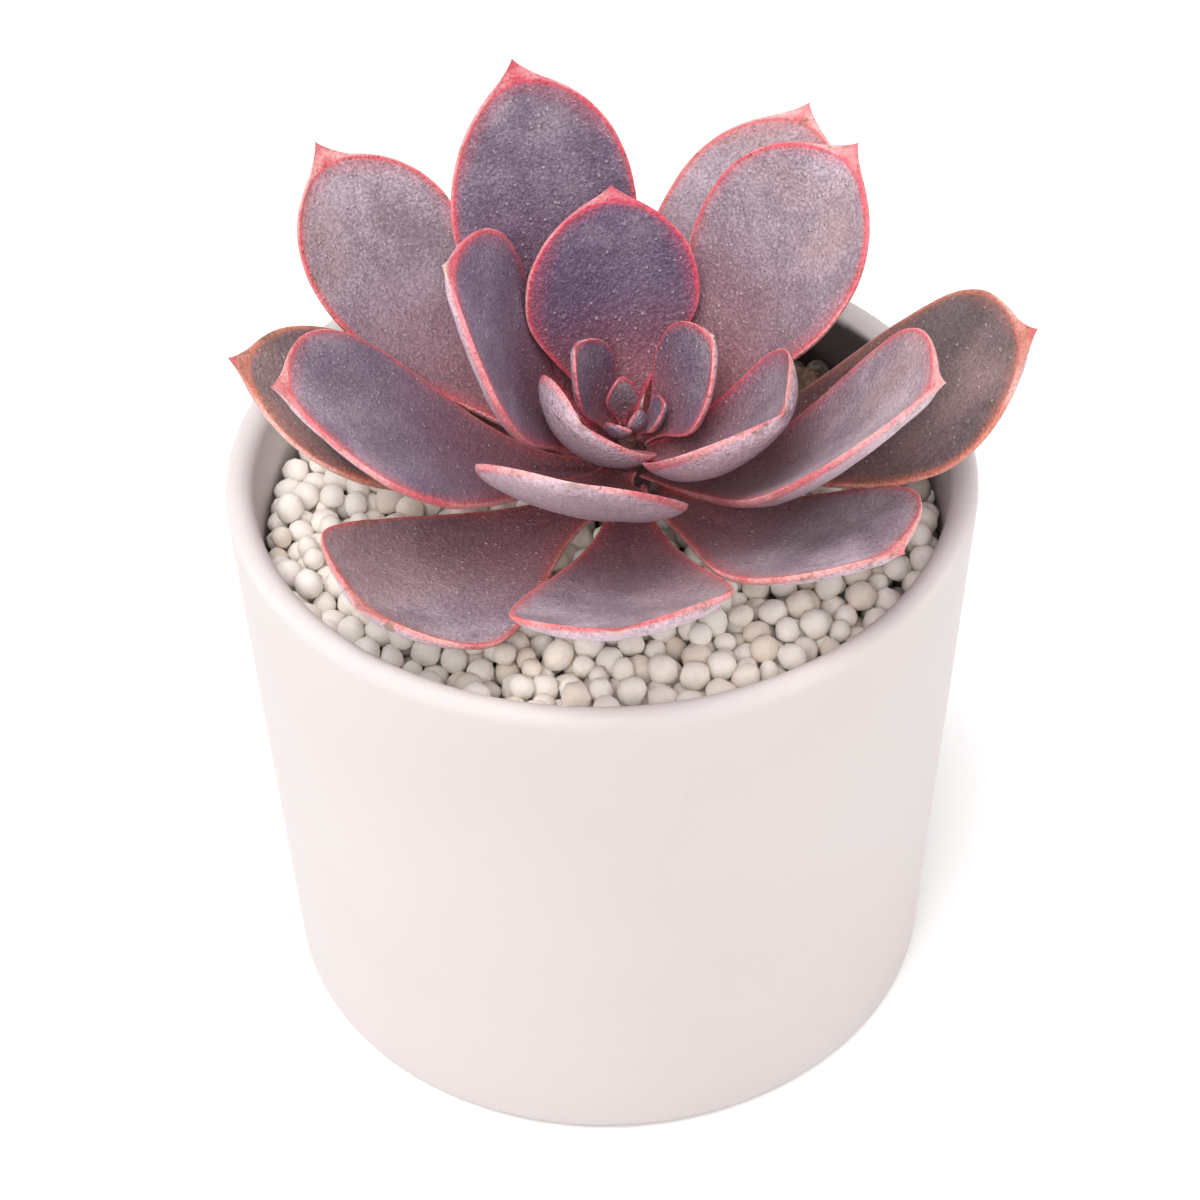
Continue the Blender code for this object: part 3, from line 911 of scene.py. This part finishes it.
def settle(settings):
    """Places and radii of beads dropped into the ring between the wall and the stem.

    Beads that overlap push each other apart while all of them sink, round by round.
    """
    random = np.random.default_rng(settings.seed)
    count = settings.count
    radius = random.uniform(settings.smallest, settings.largest, count) / 2
    wall = BED_HIGH[0] - GAP
    low = BED_LOW[2]
    turn = random.uniform(0, 2 * pi, count)
    out = wall * np.sqrt(random.uniform(*RING_SHARES, count))
    high = low + random.uniform(*DROP_SHARES, count) * (BED_HIGH[2] - low)
    place = np.column_stack((out * np.cos(turn), out * np.sin(turn), high))
    axis = np.array((STEM_X, 0.0))
    for step in range(settings.settling):
        place[:, 2] -= SINK * (1 - step / settings.settling)
        if step % NEIGHBOUR_ROUNDS == 0:
            spread = ((place[:, None, :] - place[None, :, :]) ** 2).sum(-1)
            one, other = np.nonzero(np.triu(spread < (NEIGHBOUR_REACH * settings.largest) ** 2, 1))
        for _ in range(PUSHES):
            offset = place[one] - place[other]
            distance = np.maximum(np.sqrt((offset**2).sum(-1)), WELD)
            overlap = np.maximum(radius[one] + radius[other] - distance, 0.0)
            push = offset / distance[:, None] * overlap[:, None]
            touching = np.bincount(one, overlap > 0, count) + np.bincount(other, overlap > 0, count)
            ease_off = 0.5 / np.sqrt(np.maximum(touching, 1.0))
            for i in range(3):
                pushed = np.bincount(one, push[:, i], count) - np.bincount(other, push[:, i], count)
                place[:, i] += pushed * ease_off
            from_middle = np.hypot(place[:, 0], place[:, 1])
            limit = wall - radius
            place[:, :2] *= np.minimum(1.0, limit / np.maximum(from_middle, WELD))[:, None]
            from_stem = place[:, :2] - axis
            gap = np.hypot(from_stem[:, 0], from_stem[:, 1])
            clear = STEM_RADIUS + GAP + radius
            grow_by = np.maximum(1.0, clear / np.maximum(gap, WELD))
            place[:, :2] = axis + from_stem * grow_by[:, None]
            place[:, 2] = np.maximum(place[:, 2], low + radius)
    place[:, 2] += BED_HIGH[2] - np.quantile(place[:, 2] + radius, LEVEL_SHARE)
    place[:, 2] = np.minimum(place[:, 2], BED_HIGH[2] + PROUD - radius)
    return place, radius, random.uniform(0.0, 1.0, count) ** TINT_POWER


BEAD_KINDS = 6
UNEVENNESS = 0.15  # of a bead, as a share of its radius
BEAD_INPUTS = (("Unevenness", FLOAT), ("Seed", INT), ("Clay", MATERIAL))


def any_turn(w, seed):
    """A random turn for each instance."""
    values = {1: (2 * pi, 2 * pi, 2 * pi), "Seed": seed}
    return w.node("FunctionNodeRandomValue", values, data_type="FLOAT_VECTOR").outputs[0]


def bead_tree():
    """An uneven bead of one of several kinds on every point of a mesh."""
    w, given = shape_tree("clay_beads", BEAD_INPUTS)
    kinds = w.node("GeometryNodeGeometryToInstance")
    for kind in range(BEAD_KINDS):
        ball = w.node("GeometryNodeMeshIcoSphere", {"Radius": 1.0, "Subdivisions": 2})
        at = w.read("GeometryNodeInputPosition")
        lumps = w.noise(at + w.xyz(kind * 9.0, 0.0, 0.0), 1.1, 1.0)
        dents = w.cells(at + w.xyz(kind * 5.0, 2.0, 0.0), 1.3)
        size = 1.0 + (lumps - 0.5) * given["Unevenness"] * 3.0 - (dents - 0.5) * given["Unevenness"]
        long = 1.0 + given["Unevenness"] * (0.5 + 0.35 * (kind % 3))
        stretched = w.vector("MULTIPLY", at * size, w.xyz(long, 1.0, 0.98))
        values = {"Geometry": ball.outputs["Mesh"], "Position": stretched}
        shaped = w.node("GeometryNodeSetPosition", values)
        w.tree.links.new(shaped.outputs[0], kinds.inputs[0])
    points = w.node("GeometryNodeMeshToPoints", {"Mesh": given["Geometry"]})
    pick = w.node("FunctionNodeRandomValue", data_type="INT")
    w.fill(pick, {5: BEAD_KINDS - 1, "Seed": given["Seed"]})
    radius = w.node("GeometryNodeInputNamedAttribute", {"Name": "radius_m"}, data_type="FLOAT")
    values = {
        "Points": points.outputs[0],
        "Instance": kinds.outputs[0],
        "Pick Instance": True,
        "Instance Index": pick.outputs[2],
        "Rotation": any_turn(w, given["Seed"]),
        "Scale": radius.outputs[0],
    }
    placed = w.node("GeometryNodeInstanceOnPoints", values)
    end_tree(w, placed.outputs[0], given["Clay"])
    return w.tree


class SUCCULENT_OT_beads(bpy.types.Operator):
    """Settle the clay beads on the mix"""

    bl_idname = "succulent.beads"
    bl_label = "Clay beads"

    def execute(self, context):
        settings = context.scene.succulent_beads
        place, radius, tint = settle(settings)
        mesh = bpy.data.meshes.new("bead_places")
        mesh.from_pydata([tuple(p) for p in place], [], [])
        for name, values in (("radius_m", radius), ("tint", tint)):
            kept = mesh.attributes.new(name, "FLOAT", "POINT")
            kept.data.foreach_set("value", values.astype(np.float32))
        values = {"Unevenness": UNEVENNESS, "Seed": settings.seed, "Clay": bead_clay(settings)}
        beads = grow("bead_dressing", bead_tree(), values, mesh)
        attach(beads, "root")
        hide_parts("bead_bed")
        return {"FINISHED"}


CRUMB_DENSITY = 2.6e5  # crumbs to a square metre
CLODS = ((260.0, 0.35), (800.0, 0.2))  # lumps to a metre, and their height in millimetres
CLOD_LIMIT = 0.35  # millimetres, so that none reaches into the beads
MIX_SIDES = 96
CRUMB_INPUTS = (("Crumb", FLOAT), ("Density", FLOAT), ("Seed", INT), ("Soil", MATERIAL))


def crumb_tree():
    """Crumbs strewn over the top of the mix."""
    w, given = shape_tree("soil_crumbs", CRUMB_INPUTS)
    lump = w.node("GeometryNodeMeshIcoSphere", {"Radius": 0.5, "Subdivisions": 2})
    at = w.read("GeometryNodeInputPosition")
    lumpy = at * (0.6 + w.noise(at, 1.7, 2.0) * 0.8)
    values = {"Geometry": lump.outputs["Mesh"], "Position": lumpy}
    shaped = w.node("GeometryNodeSetPosition", values)
    level = w.read("GeometryNodeInputNormal")
    values = {
        "Mesh": given["Geometry"],
        "Selection": w.math("GREATER_THAN", w.parts(level)[2], 0.5),
        "Density": given["Density"],
        "Seed": given["Seed"],
    }
    strewn = w.node("GeometryNodeDistributePointsOnFaces", values)
    sizes = {2: given["Crumb"] * 0.35, 3: given["Crumb"]}
    size = w.node("FunctionNodeRandomValue", sizes, data_type="FLOAT")
    values = {
        "Points": strewn.outputs[0],
        "Instance": shaped.outputs[0],
        "Rotation": any_turn(w, 0),
        "Scale": size.outputs[1],
    }
    placed = w.node("GeometryNodeInstanceOnPoints", values)
    joined = w.node("GeometryNodeJoinGeometry")
    w.tree.links.new(given["Geometry"].socket, joined.inputs[0])
    w.tree.links.new(placed.outputs[0], joined.inputs[0])
    end_tree(w, joined.outputs[0], given["Soil"])
    return w.tree


class SUCCULENT_OT_mix(bpy.types.Operator):
    """Fill the pot with potting mix"""

    bl_idname = "succulent.mix"
    bl_label = "Potting mix"

    def execute(self, context):
        settings = context.scene.succulent_beads
        soil = soil_mix(settings)
        s = context.scene.succulent_pot
        wall = MIX_HIGH[0]
        low = MIX_LOW[2]
        top = MIX_HIGH[2]
        inner_z = low + s.inner_round
        floor_radius = s.base_radius - s.wall - GAP
        corner = arc(floor_radius - s.inner_round, inner_z, s.inner_round, -90, 0, 6)
        outline = [(0.0, low)] + corner
        outline += straight(outline[-1], (wall, top), 10) + [(wall, top)]
        outline += straight((wall, top), (0.0, top), 36) + [(0.0, top)]
        body = turned("mix_body", outline, MIX_SIDES, soil)
        for vertex in body.data.vertices:
            inward = wall - hypot(vertex.co.x, vertex.co.y)
            if vertex.co.z > top - WELD and inward > 1.0 * MM:
                lumps = sum(noise.noise(vertex.co * scale) * high for scale, high in CLODS)
                vertex.co.z += min(lumps, CLOD_LIMIT) * MM
        mesh = body.data
        bpy.data.objects.remove(body)
        values = {"Crumb": settings.crumb, "Density": CRUMB_DENSITY}
        values |= {"Seed": settings.seed, "Soil": soil}
        mix = grow("potting_mix_fill", crumb_tree(), values, mesh)
        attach(mix, "root")
        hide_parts("growing_mix")
        return {"FINISHED"}


# Stem and dry leaves

STEM_SIDES = 48
SCAR_PITCH = 1.6 * MM  # between two rings of scars
SCAR_STARTS = 3  # scars run up as a screw with this many starts
SCAR_DEPTH = 0.18 * MM
BARK_INSET = 0.12 * MM  # how deep the bark lies inside the solid, and how rough it is
BARK_SCALE = 900.0  # lumps to a metre
SMOOTH_TIP = 0.6 * MM  # nearer to its axis than this, the stem keeps its plain shape


class SUCCULENT_OT_stem(bpy.types.Operator):
    """Shape the stem with the scars of fallen leaves"""

    bl_idname = "succulent.stem"
    bl_label = "Stem"

    def execute(self, context):
        settings = context.scene.succulent_leaves
        skin = dry_skin("stem_bark", settings.bark, darker(settings.bark, 0.45))
        low = STEM_LOW[2]
        bed = BED_HIGH[2]
        outline = [(0.0, low)] + arc(0.0, low + STEM_RADIUS, STEM_RADIUS, -72, 0, 10)
        outline += straight(outline[-1], (STEM_RADIUS, bed), 40)
        tip = (STEM_TIP_RADIUS, STEM_HIGH[2] - STEM_TIP_RADIUS)
        outline += [(STEM_RADIUS, bed)] + straight((STEM_RADIUS, bed), tip, 24)
        outline += arc(0.0, STEM_HIGH[2] - STEM_TIP_RADIUS, STEM_TIP_RADIUS, 0, 60, 5)
        outline.append((0.0, STEM_HIGH[2]))
        stem = turned("stem_skin", outline, STEM_SIDES, skin, STEM_X)
        for vertex in stem.data.vertices:
            out = Vector((vertex.co.x - STEM_X, vertex.co.y, 0.0))
            turn = atan2(out.y, out.x)
            scars = 0.5 + 0.5 * sin(vertex.co.z / SCAR_PITCH * 2 * pi + turn * SCAR_STARTS)
            rough = noise.noise(vertex.co * BARK_SCALE) * BARK_INSET
            if out.length > SMOOTH_TIP:
                vertex.co -= out.normalized() * (scars * SCAR_DEPTH + BARK_INSET + rough)
        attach(stem, "root")
        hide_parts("stem")
        return {"FINISHED"}


# Shrivelled leaves at the foot of the stem: heading, reach, rise, width, cup, roll.
DRY_LEAVES = (
    (32, 24, 0.8, 10, 38, 22),
    (44, 27, 0.5, 10, 30, -18),
    (20, 22, 0.6, 9, 40, 15),
    (58, 22, 0.5, 9, 40, -24),
    (38, 32, 1.0, 8, 34, 28),
    (345, 14, 0.4, 8, 36, 10),
)
DRY_RIPPLE = 1.1 * MM
DRY_LIFT = 0.6 * MM  # of their seats above the beads
FIRST_DRY = 40  # keeps their swells apart from those of the live leaves


class SUCCULENT_OT_dry_leaves(bpy.types.Operator):
    """Lay shrivelled leaves at the foot of the stem"""

    bl_idname = "succulent.dry_leaves"
    bl_label = "Dry leaves"

    def execute(self, context):
        settings = context.scene.succulent_leaves
        skin = dry_skin("dry_leaf", settings.dry, darker(settings.dry, 0.35))
        tree = leaf_tree()
        pieces = []
        for number, (heading, reach, rise, width, cup, roll) in enumerate(DRY_LEAVES):
            leaf = Leaf(heading, reach, rise, 6, -12, width, 0.6, cup, roll, 2, 1, 1, 1)
            seat = BED_HIGH[2] + DRY_LIFT
            values = leaf_values(leaf, FIRST_DRY + number, seat, STEM_RADIUS, settings, skin)
            values["Ripple"] = DRY_RIPPLE
            pieces.append(grow(f"dry_leaf_{number + 1}", tree, values))
        bm = bmesh.new()
        for piece in pieces:
            bm.from_mesh(piece.data)
            bpy.data.objects.remove(piece)
        mesh = bpy.data.meshes.new("dry_leaves")
        bm.to_mesh(mesh)
        bm.free()
        mesh.shade_smooth()
        mesh.materials.append(skin)
        litter = new_object("dry_leaves", mesh)
        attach(litter, "root")
        return {"FINISHED"}


# Stage

# Lamps: place and size in metres, and power as a share of the large lamp's.
LAMPS = {
    "top_lamp": ((-0.18, -0.10, 1.0), 0.8, 1.0),
    "front_lamp": ((-0.15, -0.85, 0.80), 0.7, 1.02),
    "left_lamp": ((-0.9, 0.15, 0.3), 0.5, 0.45),
    "right_lamp": ((0.9, 0.15, 0.3), 0.5, 0.50),
}
SKY_COLOUR = (1.0, 0.985, 0.98, 1.0)
FLOOR_HALF = 3.0  # metres


class SUCCULENT_OT_stage(bpy.types.Operator):
    """Set up the floor, the light and the camera"""

    bl_idname = "succulent.stage"
    bl_label = "Stage"

    def execute(self, context):
        s = context.scene.succulent_stage
        bm = bmesh.new()
        bmesh.ops.create_grid(bm, x_segments=8, y_segments=8, size=FLOOR_HALF)
        mesh = bpy.data.meshes.new("floor")
        bm.to_mesh(mesh)
        bm.free()
        mesh.materials.append(plain_floor(s))
        new_object("floor", mesh)

        world = bpy.data.worlds.new("soft_sky")
        world.use_nodes = True
        background = world.node_tree.nodes["Background"]
        background.inputs["Color"].default_value = SKY_COLOUR
        background.inputs["Strength"].default_value = s.sky
        context.scene.world = world
        middle = (0.0, 0.0, POT_HIGH[2])
        for name, (place, size, share) in LAMPS.items():
            data = bpy.data.lights.new(name, "AREA")
            data.shape = "DISK"
            data.size = size
            data.energy = s.key * share
            lamp = new_object(name, data)
            lamp.location = place
            aim = (Vector(middle) - Vector(place)).to_track_quat("-Z", "Y")
            lamp.rotation_euler = aim.to_euler()
        context.scene.view_settings.view_transform = "Standard"

        camera = bpy.data.cameras.new("camera")
        camera.sensor_width = 36.0
        camera.lens = s.lens
        camera.clip_start = 0.01
        camera.clip_end = 20.0
        stand = new_object("camera", camera)
        level = cos(s.camera_tilt)
        aim = (sin(s.camera_turn) * level, cos(s.camera_turn) * level, -sin(s.camera_tilt))
        ahead = Vector(aim)
        right = ahead.cross(Vector((0.0, 0.0, 1.0))).normalized()
        right = Matrix.Rotation(-s.camera_roll, 3, ahead) @ right
        up = right.cross(ahead)
        turn = Matrix((right, up, -ahead)).transposed().to_4x4()
        stand.matrix_world = Matrix.Translation((0.0, -s.camera_back, s.camera_height)) @ turn
        context.scene.camera = stand
        return {"FINISHED"}


# Panel and registration


class SUCCULENT_PT_panel(bpy.types.Panel):
    """Lists the pieces and their settings"""

    bl_idname = "SUCCULENT_PT_panel"
    bl_label = "Potted succulent"
    bl_space_type = "VIEW_3D"
    bl_region_type = "UI"
    bl_category = "Succulent"

    def draw(self, context):
        for name in GROUPS:
            box = self.layout.box()
            group = getattr(context.scene, name)
            for prop in group.__annotations__:
                box.prop(group, prop)
        for operator in OPERATORS:
            self.layout.operator(operator.bl_idname)


GROUPS = {
    "succulent_pot": PotSettings,
    "succulent_beads": BeadSettings,
    "succulent_leaves": LeafSettings,
    "succulent_stage": StageSettings,
}
OPERATORS = (
    SUCCULENT_OT_pot,
    SUCCULENT_OT_mix,
    SUCCULENT_OT_beads,
    SUCCULENT_OT_stem,
    SUCCULENT_OT_leaves,
    SUCCULENT_OT_dry_leaves,
    SUCCULENT_OT_stage,
)


def register():
    for cls in (*GROUPS.values(), *OPERATORS, SUCCULENT_PT_panel):
        bpy.utils.register_class(cls)
    for name, group in GROUPS.items():
        setattr(bpy.types.Scene, name, PointerProperty(type=group))


def unregister():
    for name in GROUPS:
        delattr(bpy.types.Scene, name)
    for cls in (SUCCULENT_PT_panel, *reversed(OPERATORS), *reversed(list(GROUPS.values()))):
        bpy.utils.unregister_class(cls)


def main():
    register()
    for operator in OPERATORS:
        group, name = operator.bl_idname.split(".")
        getattr(getattr(bpy.ops, group), name)()


if __name__ == "__main__":
    main()
